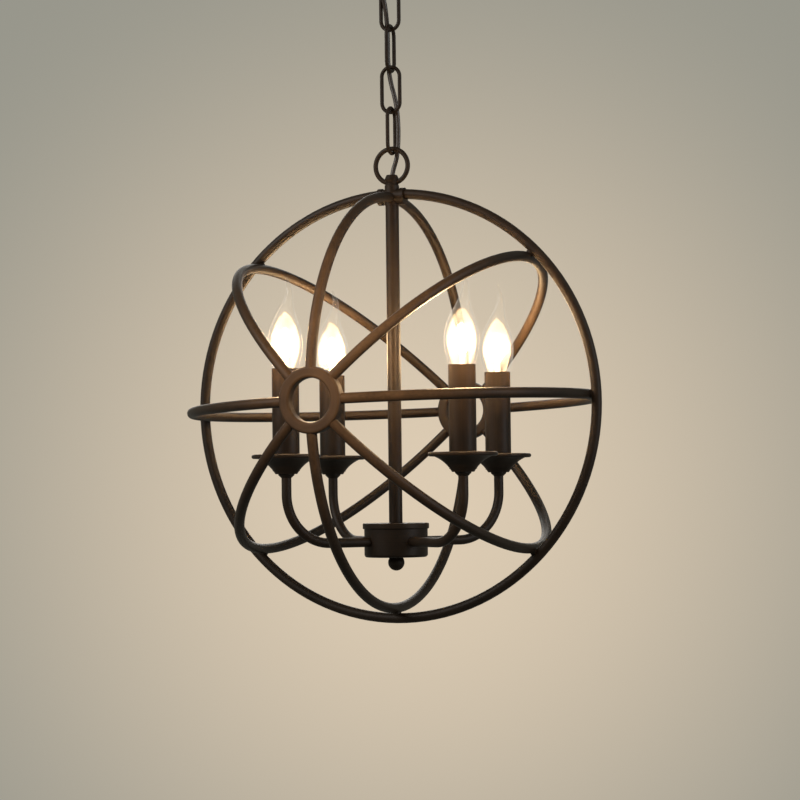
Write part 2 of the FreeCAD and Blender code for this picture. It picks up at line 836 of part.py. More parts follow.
def model():
    """Every node's solids, by name."""
    nodes = {
        "ceiling_bar": ceiling_bar(),
        "canopy": canopy(),
        "canopy_nipple": threaded_tube(
            ceiling_loop_foot - loop_socket_depth, -bar_drop + nut_thickness + nipple_top_rise
        ),
        "canopy_nuts": [
            hex_nut(-bar_drop),
            hex_nut(bar_underside - nut_thickness),
            hex_nut(-canopy_depth + canopy_wall),
        ],
        "terminal_block": terminal_block(),
        "terminal_screws": terminal_screws(),
        "cord_bushing": cord_bushing(),
    }
    ceiling_loop = loop()
    ceiling_loop.rotate(ORIGIN, X_AXIS, 180)
    ceiling_loop.rotate(ORIGIN, Z_AXIS, 90)
    nodes["ceiling_loop"] = ceiling_loop.translated(Z_AXIS * ceiling_loop_foot)
    for n, top in enumerate(link_tops, 1):
        nodes[f"chain_link_{n}"] = chain_link(top, turned=n % 2 == 0)
    for n, (points, cuts) in enumerate(cord_spans(), 1):
        nodes[f"cord_span_{n}"] = cord_span(n, points, cuts)
    nodes["lamp_loop"] = loop().translated(Z_AXIS * lamp_loop_foot)
    nodes["crown_joint"] = crown_joint()
    nodes["stem"] = stem()
    nodes["stem_nipples"] = stem_nipples()
    nodes["outer_ring"] = outer_ring()
    nodes["vertical_ring"] = vertical_ring()
    nodes["horizontal_ring"] = half_rings(-horizontal_lean)
    nodes["diagonal_ring_a"] = half_rings(-diagonal_angle)
    nodes["diagonal_ring_b"] = half_rings(diagonal_angle)
    nodes["front_eye"] = eye(-1)
    nodes["rear_eye"] = eye(1)
    nodes["ring_welds"] = ring_welds()
    nodes["hub_lid"] = hub_lid()
    nodes["hub_cup"] = hub_cup()
    nodes["finial"] = finial()
    nuts = [hex_nut(lid_plate_bottom - nut_thickness)]
    nuts += [at_arm(arm_nut(), angle) for angle in arm_angles()]
    nuts += [at_candle(hex_nut(pan_floor_height), way) for way in arm_ways()]
    nodes["lamp_nuts"] = nuts
    nodes["arm_leads"] = [at_arm(arm_lead(), angle) for angle in arm_angles()]
    nodes["lampholders"] = [at_candle(lampholder(), way) for way in arm_ways()]
    nodes["lampholder_contacts"] = [at_candle(s, way) for way in arm_ways() for s in holder_contacts()]
    for n, (angle, way) in enumerate(zip(arm_angles(), arm_ways()), 1):
        nodes[f"arm_{n}"] = at_arm(arm(), angle)
        nodes[f"drip_pan_{n}"] = at_candle(drip_pan(), way)
        nodes[f"candle_sleeve_{n}"] = at_candle(candle_sleeve(), way)
        nodes[f"bulb_glass_{n}"] = at_candle(bulb_glass(), way)
        nodes[f"bulb_cap_{n}"] = at_candle(bulb_cap(), way)
        nodes[f"bulb_contact_{n}"] = at_candle(bulb_contact(), way)
    return nodes


def write(nodes):
    os.makedirs("parts", exist_ok=True)
    for name, shape in nodes.items():
        if isinstance(shape, list):
            shape = Part.makeCompound(shape)
        if not shape.isValid() or not shape.Solids:
            print(f"{name} isn't a valid solid")
        shape.exportStep(f"parts/{name}.step")


write(model())
print(f"orb centre {orb_height:.2f} mm, hinges at {[round(h, 2) for h in hinge_heights]} mm")
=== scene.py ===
import math

import bpy
from mathutils import Matrix, Vector


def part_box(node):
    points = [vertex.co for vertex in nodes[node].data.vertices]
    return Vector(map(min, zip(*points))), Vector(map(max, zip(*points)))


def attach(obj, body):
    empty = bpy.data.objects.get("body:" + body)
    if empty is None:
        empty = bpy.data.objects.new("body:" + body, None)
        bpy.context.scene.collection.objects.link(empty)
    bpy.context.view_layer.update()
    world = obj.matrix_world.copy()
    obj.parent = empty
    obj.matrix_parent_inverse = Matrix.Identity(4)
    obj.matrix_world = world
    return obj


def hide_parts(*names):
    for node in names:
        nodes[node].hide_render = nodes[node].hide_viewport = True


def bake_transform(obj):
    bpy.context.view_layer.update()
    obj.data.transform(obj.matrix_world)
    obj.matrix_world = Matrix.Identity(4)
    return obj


# Looks of the orb chandelier. Metres, +Z up, origin at the ceiling, as in the frame.

# ---- Camera, placed about the orb's centre ----
camera_distance = 2.5498
camera_azimuth = 22.68  # degrees to the right of the view along +Y
camera_elevation = -1.86
camera_turn = -0.13
camera_tilt = 1.99
camera_roll = 0.68
picture_width = 800  # pixels
focal_pixels = 2460.0
sensor_width = 36.0  # millimetres

# ---- Cord ----
cord_radius = 0.0024
cord_sides = 20
cord_steps = 24  # rings of the tube for each point of the route
# From the terminal block, down beside the chain, to the hub
cord_route = [
    (-0.0170, -0.0090, -0.0150),
    (-0.0170, -0.0200, -0.0150),
    (-0.0170, -0.0270, -0.0225),
    (-0.0170, -0.0270, -0.0440),
    (-0.0055, -0.0058, -0.0712),
    (-0.0048, 0.0058, -0.1097),
    (-0.0056, 0.0056, -0.1573),
    (0.0056, 0.0058, -0.1957),
    (0.0054, 0.0058, -0.2433),
    (0.0, 0.0, -0.2642),
    (0.0, 0.0, -0.2864),
    (0.0, 0.0, -0.6461),
]
first_chain_run = 4  # the run from this point lies beside the first link

# ---- Bulbs ----
bulb_numbers = (1, 2, 3, 4)
flame_bend_direction = 22.7  # degrees from +X
# height above the sleeve, radius, sideways shift of the bent flame's axis, in millimetres
flame_outline = [
    (-10.0, 6.9, 0.0),
    (-6.0, 8.4, 0.0),
    (0.0, 12.0, 0.0),
    (10.0, 15.9, 0.0),
    (20.0, 17.4, 0.0),
    (29.0, 17.4, 0.0),
    (38.0, 15.8, 0.1),
    (47.0, 12.6, 0.4),
    (55.0, 9.3, 1.1),
    (63.0, 6.4, 2.6),
    (71.0, 4.3, 4.2),
    (79.0, 3.0, 4.8),
    (86.0, 2.0, 3.6),
    (92.0, 0.9, 1.6),
]
flame_sides = 48
flame_steps = 6  # rings between two lines of the outline
glow_height = 0.0255  # of the brightest place above the sleeve
glow_core_size = 0.0090  # over which the light in the haze dies away
glow_streak_size = (0.0024, 0.022)  # of the upright streak, level and upright
haze_strengths = (6.5, 190.0, 55.0)  # everywhere in the glass, in the core and in the streak
haze_colour = (1.0, 0.86, 0.66)
# The bulb glass carries a painted glow at its edges: an emission where the glass is seen edge on, not light
# from a lamp.
glass_edge_painted_glow_colour = (1.0, 0.91, 0.79)
glass_edge_painted_glow_strength = 0.86
glass_edge_painted_glow_share = 0.72  # share of painted glow against mirroring at the edge
glass_edge_power = 2.6  # how near to the edge the glass shows
glass_cover = (0.03, 0.5)  # of the skin, face on and at the edge
filament_count = 4
filament_radius = 0.0009
filament_low = 0.013  # above the sleeve
filament_high = 0.039
filament_splay = (0.0048, 0.0032)  # distance from the axis at the foot and at the top
wire_radius = 0.00028
stem_outline = [  # radius and height above the sleeve of the glass foot, in millimetres
    (6.2, -9.0),
    (5.2, -7.5),
    (3.4, -5.0),
    (2.7, -1.0),
    (2.6, 5.0),
    (3.0, 8.0),
    (2.4, 10.2),
    (0.0, 10.8),
]
insulator_height = 0.0011
insulator_radius = 0.0036

# ---- Drip pans, flared like a trumpet ----
pan_sides = 96
pan_steps = 12  # along a flare
pan_foot_radius = 0.0113
pan_hole_radius = 0.0050
pan_seat_radius = 0.01375  # round the candle sleeve
pan_seat_height = 0.006
pan_floor_height = 0.003
pan_wall = 0.0015
pan_bead_radius = 0.0022
pan_bulge = 0.0026  # of a flare, from the straight line between its ends

# ---- Finishes: two colours, roughness, and the scale (and depth) of the grain ----
zinc_look = ((0.46, 0.46, 0.45), (0.62, 0.62, 0.60), (0.28, 0.45), (500, 500, 90))
brass_look = ((0.56, 0.40, 0.17), (0.72, 0.54, 0.26), (0.22, 0.40), (600, 600, 200))
white_look = ((0.74, 0.73, 0.69), (0.82, 0.81, 0.77), (0.4, 0.55), 1800.0, 0.0001)
black_look = ((0.012, 0.012, 0.012), (0.022, 0.021, 0.02), (0.35, 0.5), 1500.0, 0.0001)
lead_look = ((0.70, 0.69, 0.66), (0.80, 0.79, 0.76), (0.3, 0.42), 900.0, 0.00008)
cord_look = ((0.014, 0.009, 0.006), (0.026, 0.017, 0.011), (0.34, 0.5), 1400.0, 0.00012)

# ---- Light ----
bulb_light_watts = 5.0
bulb_light_radius = 0.026
bulb_light_colour = (1.0, 0.66, 0.34)
bulb_light_reach = 0.15  # beyond which little of it is seen on the metal
halo_light_watts = 60.0  # of the soft glow round a bulb, on what is near it
halo_light_radius = 0.045
halo_light_reach = 0.042
warm_light_place = (0.10, -0.50, -0.34)
warm_light_reach = 0.30
wall_colour = (0.314, 0.308, 0.262)  # far from the lamp
# Painted pool of warm light on the backdrop, palest round the lamp as seen from the camera.
wall_painted_glow_colour = (0.72, 0.60, 0.45)
wall_painted_glow_angle = 0.26  # radians from its middle, over which it fades
wall_painted_glow_shift = (0.02, 0.0, -0.10)  # of its middle from the orb's centre
studio_colour = (0.93, 0.96, 1.0)
studio_strength = 0.10
floor_height = -1.9
floor_radius = 3.6
floor_solid_radius = 1.2


# ======================= Frame =======================

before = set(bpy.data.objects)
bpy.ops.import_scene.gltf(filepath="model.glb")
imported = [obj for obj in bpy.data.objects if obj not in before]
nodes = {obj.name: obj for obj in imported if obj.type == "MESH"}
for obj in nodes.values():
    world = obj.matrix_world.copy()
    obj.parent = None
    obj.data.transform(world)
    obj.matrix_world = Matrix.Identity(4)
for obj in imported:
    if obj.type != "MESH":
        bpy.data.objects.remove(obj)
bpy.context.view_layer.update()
ring_low, ring_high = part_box("outer_ring")
orb_radius = (ring_high.x - ring_low.x) / 2
orb_centre = Vector((0, 0, ring_low.z + orb_radius))


def sleeve_place(number):
    """Middle of a candle sleeve's top."""
    low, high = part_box(f"candle_sleeve_{number}")
    return Vector(((low.x + high.x) / 2, (low.y + high.y) / 2, high.z))


# ======================= Meshes =======================


def piece(name, points, faces, material):
    """Smooth mesh object made of points and faces."""
    mesh = bpy.data.meshes.new(name)
    mesh.from_pydata(points, [], faces)
    mesh.validate()
    for polygon in mesh.polygons:
        polygon.use_smooth = True
    mesh.materials.append(material)
    made = bpy.data.objects.new(name, mesh)
    bpy.context.scene.collection.objects.link(made)
    return made


def ring_faces(rings, sides, closed_start, closed_end):
    """Faces of a skin over rings of points that follow each other."""
    faces = []
    for ring in range(rings - 1):
        for side in range(sides):
            after = (side + 1) % sides
            here, above = ring * sides, (ring + 1) * sides
            faces.append((here + side, here + after, above + after, above + side))
    if closed_start:
        faces.append(tuple(reversed(range(sides))))
    if closed_end:
        faces.append(tuple(range((rings - 1) * sides, rings * sides)))
    return faces


def turned(outline, place, sides):
    """Points and faces of an outline of (radius, height) turned about an upright axis."""
    points = []
    for radius, height in outline:
        for side in range(sides):
            angle = 2 * math.pi * side / sides
            out = Vector((radius * math.cos(angle), radius * math.sin(angle), height))
            points.append(place + out)
    return points, ring_faces(len(outline), sides, True, True)


def tube_rings(path, radius, sides):
    """Rings of points round a path, carried along it without twist."""
    last = len(path) - 1
    ways = [(path[min(n + 1, last)] - path[max(n - 1, 0)]).normalized() for n in range(last + 1)]
    across = ways[0].orthogonal().normalized()
    rings = []
    for n, (middle, way) in enumerate(zip(path, ways)):
        if n:
            across.rotate(ways[n - 1].rotation_difference(way))
        across = (across - way * across.dot(way)).normalized()
        other = way.cross(across)
        angles = [2 * math.pi * side / sides for side in range(sides)]
        outs = [across * math.cos(a) + other * math.sin(a) for a in angles]
        rings.append([middle + out * radius for out in outs])
    return rings


def joined(parts):
    """One list of points and faces from several."""
    points, faces = [], []
    for more_points, more_faces in parts:
        faces += [tuple(i + len(points) for i in face) for face in more_faces]
        points += more_points
    return points, faces


def tube(path, radius, sides):
    """Points and faces of a round bar along a path, closed at both ends."""
    rings = tube_rings(path, radius, sides)
    return [p for ring in rings for p in ring], ring_faces(len(rings), sides, True, True)


# ======================= Materials =======================


def new_material(name):
    made = bpy.data.materials.new(name)
    made.use_nodes = True
    shader = made.node_tree.nodes["Principled BSDF"]
    return made, made.node_tree, shader


def link(tree, source, target):
    tree.links.new(source, target)


def coordinates(tree, scale=(1, 1, 1), origin=(0, 0, 0)):
    """Place on the object at rest, in metres from origin, stretched by scale."""
    place = tree.nodes.new("ShaderNodeTexCoord")
    shift = tree.nodes.new("ShaderNodeVectorMath")
    shift.operation = "SUBTRACT"
    shift.inputs[1].default_value = origin
    stretch = tree.nodes.new("ShaderNodeVectorMath")
    stretch.operation = "MULTIPLY"
    stretch.inputs[1].default_value = scale
    link(tree, place.outputs["Object"], shift.inputs[0])
    link(tree, shift.outputs[0], stretch.inputs[0])
    return stretch.outputs[0]


def lathe_coordinates(tree, axis, origin):
    """Distance from an axis of turning and place along it: a pattern then runs round the axis."""
    place = coordinates(tree, origin=origin)
    across = tree.nodes.new("ShaderNodeVectorMath")
    across.operation = "MULTIPLY"
    across.inputs[1].default_value = [1 - a for a in axis]
    length = tree.nodes.new("ShaderNodeVectorMath")
    length.operation = "LENGTH"
    along = tree.nodes.new("ShaderNodeVectorMath")
    along.operation = "DOT_PRODUCT"
    along.inputs[1].default_value = axis
    both = tree.nodes.new("ShaderNodeCombineXYZ")
    link(tree, place, across.inputs[0])
    link(tree, across.outputs[0], length.inputs[0])
    link(tree, place, along.inputs[0])
    link(tree, length.outputs["Value"], both.inputs["X"])
    link(tree, along.outputs["Value"], both.inputs["Y"])
    return both.outputs[0]


def maths(tree, operation, first, second=None):
    """Result of a sum of one or two values, each a socket or a number."""
    made = tree.nodes.new("ShaderNodeMath")
    made.operation = operation
    for socket, value in zip(made.inputs, (first, second)):
        if isinstance(value, (int, float)):
            socket.default_value = value
        elif value is not None:
            link(tree, value, socket)
    return made.outputs[0]


def noise(tree, place, scale, detail=3.0, roughness=0.55):
    made = tree.nodes.new("ShaderNodeTexNoise")
    made.inputs["Scale"].default_value = scale
    made.inputs["Detail"].default_value = detail
    made.inputs["Roughness"].default_value = roughness
    link(tree, place, made.inputs["Vector"])
    return made.outputs["Fac"]


def spread(tree, value, low, high, start=0.3, end=0.7):
    """A value between start and end, mapped to low to high."""
    made = tree.nodes.new("ShaderNodeMapRange")
    for name, number in zip(("From Min", "From Max", "To Min", "To Max"), (start, end, low, high)):
        made.inputs[name].default_value = number
    link(tree, value, made.inputs["Value"])
    return made.outputs["Result"]


def two_tone(tree, value, first, second, start=0.35, end=0.65):
    made = tree.nodes.new("ShaderNodeValToRGB")
    made.color_ramp.elements[0].position = start
    made.color_ramp.elements[0].color = (*first, 1)
    made.color_ramp.elements[1].position = end
    made.color_ramp.elements[1].color = (*second, 1)
    link(tree, value, made.inputs["Fac"])
    return made.outputs["Color"]


def bumps(tree, shader, value, strength, depth):
    made = tree.nodes.new("ShaderNodeBump")
    made.inputs["Strength"].default_value = strength
    made.inputs["Distance"].default_value = depth
    link(tree, value, made.inputs["Height"])
    link(tree, made.outputs["Normal"], shader.inputs["Normal"])


def mean(tree, first, second):
    return maths(tree, "MULTIPLY", maths(tree, "ADD", first, second), 0.5)


def falloff(tree, middle, level, upright):
    """1 at a place, dying away over the distances given."""
    place = coordinates(tree, (1 / level, 1 / level, 1 / upright), middle)
    away = tree.nodes.new("ShaderNodeVectorMath")
    away.operation = "DOT_PRODUCT"
    link(tree, place, away.inputs[0])
    link(tree, place, away.inputs[1])
    return maths(tree, "EXPONENT", maths(tree, "MULTIPLY", away.outputs["Value"], -1.0))


def bronze(name, grain=None):
    """Dark bronze paint over steel: mottled brown-black, satin, with the metal's grain under it.

    grain gives the coordinates that the drawn or turned lines follow.
    """
    made, tree, shader = new_material(name)
    place = coordinates(tree)
    cloud = noise(tree, place, 38.0, 4.0)
    skin = noise(tree, place, 1500.0, 2.0)
    lines = noise(tree, grain(tree), 1.0, 2.0) if grain else noise(tree, place, 420.0, 3.0)
    tone = mean(tree, cloud, lines)
    colour = two_tone(tree, tone, (0.0090, 0.0055, 0.0031), (0.0190, 0.0117, 0.0066))
    link(tree, colour, shader.inputs["Base Color"])
    link(tree, spread(tree, tone, 0.44, 0.60), shader.inputs["Roughness"])
    shader.inputs["Metallic"].default_value = 0.15
    shader.inputs["Specular IOR Level"].default_value = 0.14
    shader.inputs["Coat Weight"].default_value = 0.03
    shader.inputs["Coat Roughness"].default_value = 0.4
    bumps(tree, shader, mean(tree, skin, lines), 0.22, 0.00012)
    return made


def plain_metal(name, first, second, roughness, grain_scale):
    """Bare metal with fine scratches and clouded shine."""
    made, tree, shader = new_material(name)
    place = coordinates(tree)
    cloud = noise(tree, place, 160.0, 4.0)
    scratch = noise(tree, coordinates(tree, grain_scale), 1.0, 3.0)
    link(tree, two_tone(tree, cloud, first, second), shader.inputs["Base Color"])
    link(tree, spread(tree, scratch, *roughness), shader.inputs["Roughness"])
    shader.inputs["Metallic"].default_value = 1.0
    bumps(tree, shader, scratch, 0.15, 0.00008)
    return made


def plastic(name, first, second, roughness, skin_scale, depth):
    """Moulded plastic with a fine skin."""
    made, tree, shader = new_material(name)
    place = coordinates(tree)
    cloud = noise(tree, place, 120.0, 3.0)
    skin = noise(tree, place, skin_scale, 2.0)
    link(tree, two_tone(tree, cloud, first, second), shader.inputs["Base Color"])
    link(tree, spread(tree, skin, *roughness), shader.inputs["Roughness"])
    bumps(tree, shader, skin, 0.2, depth)
    return made


def thin_glass(name, foot):
    """Clear blown glass with a painted glow at its edges, filled with the haze of light round the
    filaments.
    """
    made, tree, shader = new_material(name)
    tree.nodes.remove(shader)
    ripple = noise(tree, coordinates(tree, (1, 1, 0.4)), 70.0, 1.0)
    clear = tree.nodes.new("ShaderNodeBsdfTransparent")
    link(tree, two_tone(tree, ripple, (0.95, 0.94, 0.92), (0.985, 0.98, 0.97)), clear.inputs["Color"])
    shine = tree.nodes.new("ShaderNodeBsdfGlossy")
    link(tree, spread(tree, ripple, 0.015, 0.05), shine.inputs["Roughness"])
    bend = tree.nodes.new("ShaderNodeBump")
    bend.inputs["Strength"].default_value = 0.15
    bend.inputs["Distance"].default_value = 0.0004
    link(tree, ripple, bend.inputs["Height"])
    link(tree, bend.outputs["Normal"], shine.inputs["Normal"])
    # Painted glow: an emission on the glass where it is seen edge on, mixed with its mirroring.
    rim = tree.nodes.new("ShaderNodeEmission")
    rim.inputs["Color"].default_value = (*glass_edge_painted_glow_colour, 1)
    rim.inputs["Strength"].default_value = glass_edge_painted_glow_strength
    shine_and_painted_glow = tree.nodes.new("ShaderNodeMixShader")
    shine_and_painted_glow.inputs[0].default_value = glass_edge_painted_glow_share
    link(tree, shine.outputs[0], shine_and_painted_glow.inputs[1])
    link(tree, rim.outputs[0], shine_and_painted_glow.inputs[2])
    slant = tree.nodes.new("ShaderNodeLayerWeight")
    slant.inputs["Blend"].default_value = 0.5
    link(tree, bend.outputs["Normal"], slant.inputs["Normal"])
    edge = maths(tree, "POWER", slant.outputs["Facing"], glass_edge_power)
    skin = tree.nodes.new("ShaderNodeMixShader")
    link(tree, spread(tree, edge, *glass_cover, 0.0, 1.0), skin.inputs[0])
    link(tree, clear.outputs[0], skin.inputs[1])
    link(tree, shine_and_painted_glow.outputs[0], skin.inputs[2])
    output = tree.nodes["Material Output"]
    link(tree, skin.outputs[0], output.inputs["Surface"])
    # The haze dies away from the middle of the filaments, with a streak along the axis.
    middle = foot + Vector((0, 0, glow_height))
    everywhere, core, streak = haze_strengths
    round_fall = falloff(tree, middle, glow_core_size, glow_core_size)
    round_part = spread(tree, round_fall, everywhere, core, 0.0, 1.0)
    upright_part = spread(tree, falloff(tree, middle, *glow_streak_size), 0.0, streak, 0.0, 1.0)
    haze = tree.nodes.new("ShaderNodeEmission")
    haze.inputs["Color"].default_value = (*haze_colour, 1)
    link(tree, maths(tree, "ADD", round_part, upright_part), haze.inputs["Strength"])
    link(tree, haze.outputs[0], output.inputs["Volume"])
    return made


def solid_glass(name):
    """The glass foot inside a bulb."""
    made, tree, shader = new_material(name)
    ripple = noise(tree, coordinates(tree), 300.0, 2.0)
    link(tree, two_tone(tree, ripple, (0.86, 0.86, 0.82), (0.96, 0.95, 0.92)), shader.inputs["Base Color"])
    link(tree, spread(tree, ripple, 0.03, 0.12), shader.inputs["Roughness"])
    shader.inputs["Transmission Weight"].default_value = 0.9
    shader.inputs["IOR"].default_value = 1.5
    return made


def lit_filament(name):
    """Glowing coat of a filament, a little uneven along its length."""
    made, tree, shader = new_material(name)
    grain = noise(tree, coordinates(tree), 900.0, 2.0)
    link(tree, two_tone(tree, grain, (1.0, 0.72, 0.34), (1.0, 0.84, 0.52)), shader.inputs["Base Color"])
    link(tree, two_tone(tree, grain, (1.0, 0.70, 0.36), (1.0, 0.80, 0.50)), shader.inputs["Emission Color"])
    shader.inputs["Emission Strength"].default_value = 26.0
    shader.inputs["Roughness"].default_value = 0.5
    return made


def wear(node, material):
    """Gives a carried-over node its finish, in its object's material slots."""
    for slot in nodes[node].material_slots:
        slot.material = material


# ======================= Camera =======================


def make_camera():
    data = bpy.data.cameras.new("camera")
    data.sensor_width = sensor_width
    data.lens = focal_pixels / picture_width * sensor_width
    data.dof.use_dof = False
    made = bpy.data.objects.new("camera", data)
    bpy.context.scene.collection.objects.link(made)
    rise = math.radians(camera_elevation)
    back = Vector((0, -math.cos(rise), math.sin(rise))) * camera_distance
    place = orb_centre + Matrix.Rotation(math.radians(camera_azimuth), 3, "Z") @ back
    turn = Matrix.Rotation(math.radians(camera_azimuth + camera_turn), 3, "Z")
    tilt = Matrix.Rotation(math.radians(camera_tilt), 3, "X")
    roll = Matrix.Rotation(math.radians(camera_roll), 3, "Y")
    level = Matrix.Rotation(math.radians(90), 3, "X")
    made.matrix_world = Matrix.Translation(place) @ (turn @ tilt @ roll @ level).to_4x4()
    bpy.context.scene.camera = made


# ======================= Cord =======================


def smooth_route():
    """Points along the cord's smooth line, read from a spline through its route."""
    data = bpy.data.curves.new("route", "CURVE")
    data.dimensions = "3D"
    spline = data.splines.new("NURBS")
    spline.points.add(len(cord_route) - 1)
    for point, place in zip(spline.points, cord_route):
        point.co = (*place, 1)
    spline.order_u = 3
    spline.use_endpoint_u = True
    spline.resolution_u = cord_steps
    route = bpy.data.objects.new("route", data)
    mesh = bpy.data.meshes.new_from_object(route)
    points = [v.co.copy() for v in mesh.vertices]
    bpy.data.objects.remove(route)
    bpy.data.meshes.remove(mesh)
    return points


def make_cord(material):
    """The cord in five spans, each of which bends where its own link hooks on."""
    path = smooth_route()
    rings = tube_rings(path, cord_radius, cord_sides)
    cuts = []
    for n in range(first_chain_run, first_chain_run + 4):
        middle = (Vector(cord_route[n]) + Vector(cord_route[n + 1])) / 2
        cuts.append(min(range(len(path)), key=lambda i: (path[i] - middle).length))
    starts = [0] + cuts
    ends = cuts + [len(path) - 1]
    for n, (start, end) in enumerate(zip(starts, ends)):
        points = [p for ring in rings[start : end + 1] for p in ring]
        faces = ring_faces(end + 1 - start, cord_sides, start == 0, end == len(path) - 1)
        span = piece(f"cord_{n + 1}", points, faces, material)
        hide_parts(f"cord_span_{n + 1}")
        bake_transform(span)


# ======================= Bulbs =======================


def eased(points, steps):
    """Points on a smooth line through the given ones (Catmull-Rom)."""
    made = []
    for n in range(len(points) - 1):
        before = points[max(n - 1, 0)]
        here, after = points[n], points[n + 1]
        beyond = points[min(n + 2, len(points) - 1)]
        for step in range(steps):
            t = step / steps
            a = (-t + 2 * t**2 - t**3) / 2
            b = (2 - 5 * t**2 + 3 * t**3) / 2
            c = (t + 4 * t**2 - 3 * t**3) / 2
            d = (-(t**2) + t**3) / 2
            made.append([a * w + b * x + c * y + d * z for w, x, y, z in zip(before, here, after, beyond)])
    made.append(list(points[-1]))
    return made


def flame(foot, inset=0.0):
    """Points and faces of the bent flame over a place, drawn in by inset."""
    way = math.radians(flame_bend_direction)
    bend = Vector((math.cos(way), math.sin(way), 0))
    points = []
    sections = eased(flame_outline, flame_steps)
    for height, radius, shift in sections:
        middle = foot + bend * shift / 1000 + Vector((0, 0, height / 1000))
        for side in range(flame_sides):
            angle = 2 * math.pi * side / flame_sides
            way = Vector((math.cos(angle), math.sin(angle), 0))
            points.append(middle + way * (radius / 1000 - inset))
    return points, ring_faces(len(sections), flame_sides, True, True)


def filament_ends(foot, number):
    angle = 2 * math.pi * (number + 0.5) / filament_count
    way = Vector((math.cos(angle), math.sin(angle), 0))
    low = foot + way * filament_splay[0] + Vector((0, 0, filament_low))
    high = foot + way * filament_splay[1] + Vector((0, 0, filament_high))
    return low, high


def rounded_rod(low, high, radius):
    """Bar with rounded ends."""
    way = (high - low).normalized()
    across = way.orthogonal().normalized()
    other = way.cross(across)
    sides, rings = 12, []
    for end, sign in ((low, -1), (high, 1)):
        steps = range(0, 5) if sign < 0 else range(4, -1, -1)
        for step in steps:
            angle = math.radians(20 * step + 8)
            size = radius * math.sin(angle)
            middle = end + way * sign * radius * (math.cos(angle) - 1)
            for side in range(sides):
                turn = 2 * math.pi * side / sides
                rings.append(middle + (across * math.cos(turn) + other * math.sin(turn)) * size)
    return rings, ring_faces(10, sides, True, True)


def wires(foot):
    """Two lead wires out of the glass foot, and the links between the filaments' ends."""
    parts = []
    for number in range(filament_count):
        low, high = filament_ends(foot, number)
        stem_top = foot + Vector((0, 0, 0.009))
        side = Vector((low.x - foot.x, low.y - foot.y, 0)).normalized() * 0.0018
        parts.append(tube([stem_top + side - Vector((0, 0, 0.004)), stem_top + side, low], wire_radius, 8))
        top = foot + Vector((0, 0, filament_high + 0.0022))
        parts.append(tube([high, (high + top) / 2 + Vector((0, 0, 0.0006)), top], wire_radius, 8))
    return joined(parts)


def shorten(light, reach):
    """Lets a light die away over a distance, sooner than its spreading alone makes it."""
    light.use_nodes = True
    tree = light.node_tree
    path = tree.nodes.new("ShaderNodeLightPath")
    part = maths(tree, "DIVIDE", path.outputs["Ray Length"], reach)
    fall = maths(tree, "MULTIPLY", maths(tree, "MULTIPLY", part, part), -1.0)
    link(tree, maths(tree, "EXPONENT", fall), tree.nodes["Emission"].inputs["Strength"])


def bulb_light(name, place, watts, radius, reach):
    """Round light, itself unseen."""
    data = bpy.data.lights.new(name, "POINT")
    data.energy = watts
    data.color = bulb_light_colour
    data.shadow_soft_size = radius
    shorten(data, reach)
    made = bpy.data.objects.new(name, data)
    bpy.context.scene.collection.objects.link(made)
    made.location = place
    made.visible_camera = False
    made.visible_transmission = False
    return made


def make_bulb(number, finishes):
    foot = sleeve_place(number)
    body = f"bulb_{number}"
    envelope = piece(f"bulb_envelope_{number}", *flame(foot), thin_glass(f"bulb_glass_{number}", foot))
    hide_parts(f"bulb_glass_{number}")
    millimetres = [(radius / 1000, height / 1000) for radius, height in stem_outline]
    stem_points, stem_faces = turned(millimetres, foot, 24)
    stem = piece(f"bulb_foot_{number}", stem_points, stem_faces, finishes["foot_glass"])
    rods = joined([rounded_rod(*filament_ends(foot, n), filament_radius) for n in range(filament_count)])
    filaments = piece(f"bulb_filaments_{number}", *rods, finishes["filament"])
    leads = piece(f"bulb_wires_{number}", *wires(foot), finishes["zinc"])
    contact_low, contact_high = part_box(f"bulb_contact_{number}")
    cap_low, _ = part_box(f"bulb_cap_{number}")
    contact_radius = (contact_high.x - contact_low.x) / 2
    rim = Vector((foot.x, foot.y, cap_low.z))
    ring = [
        (contact_radius, -insulator_height),
        (insulator_radius - 0.0006, -insulator_height),
        (insulator_radius, -insulator_height / 2),
        (insulator_radius, 0.0),
        (contact_radius, 0.0),
    ]
    insulator = piece(f"cap_insulator_{number}", *turned(ring, rim, 32), finishes["black"])
    for made in (envelope, stem, filaments, leads, insulator):
        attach(made, body)
    for made in (stem, filaments, leads):
        made.visible_shadow = False
    place = foot + Vector((0, 0, glow_height))
    sizes = (bulb_light_watts, bulb_light_radius, bulb_light_reach)
    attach(bulb_light(f"bulb_light_{number}", place, *sizes), body)
    halo = bulb_light(f"bulb_halo_{number}", place, halo_light_watts, halo_light_radius, halo_light_reach)
    halo.data.use_shadow = False
    halo.visible_glossy = False
    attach(halo, body)


# ======================= Drip pans =======================


def flare(start, end, bulge):
    """Points from start to before end, along an arc that stands out from the line between them."""
    along = (end - start).normalized()
    out = Vector((-along.y, along.x))
    points = []
    for step in range(pan_steps):
        t = step / pan_steps
        points.append(start.lerp(end, t) + out * 4 * bulge * t * (1 - t))
    return points


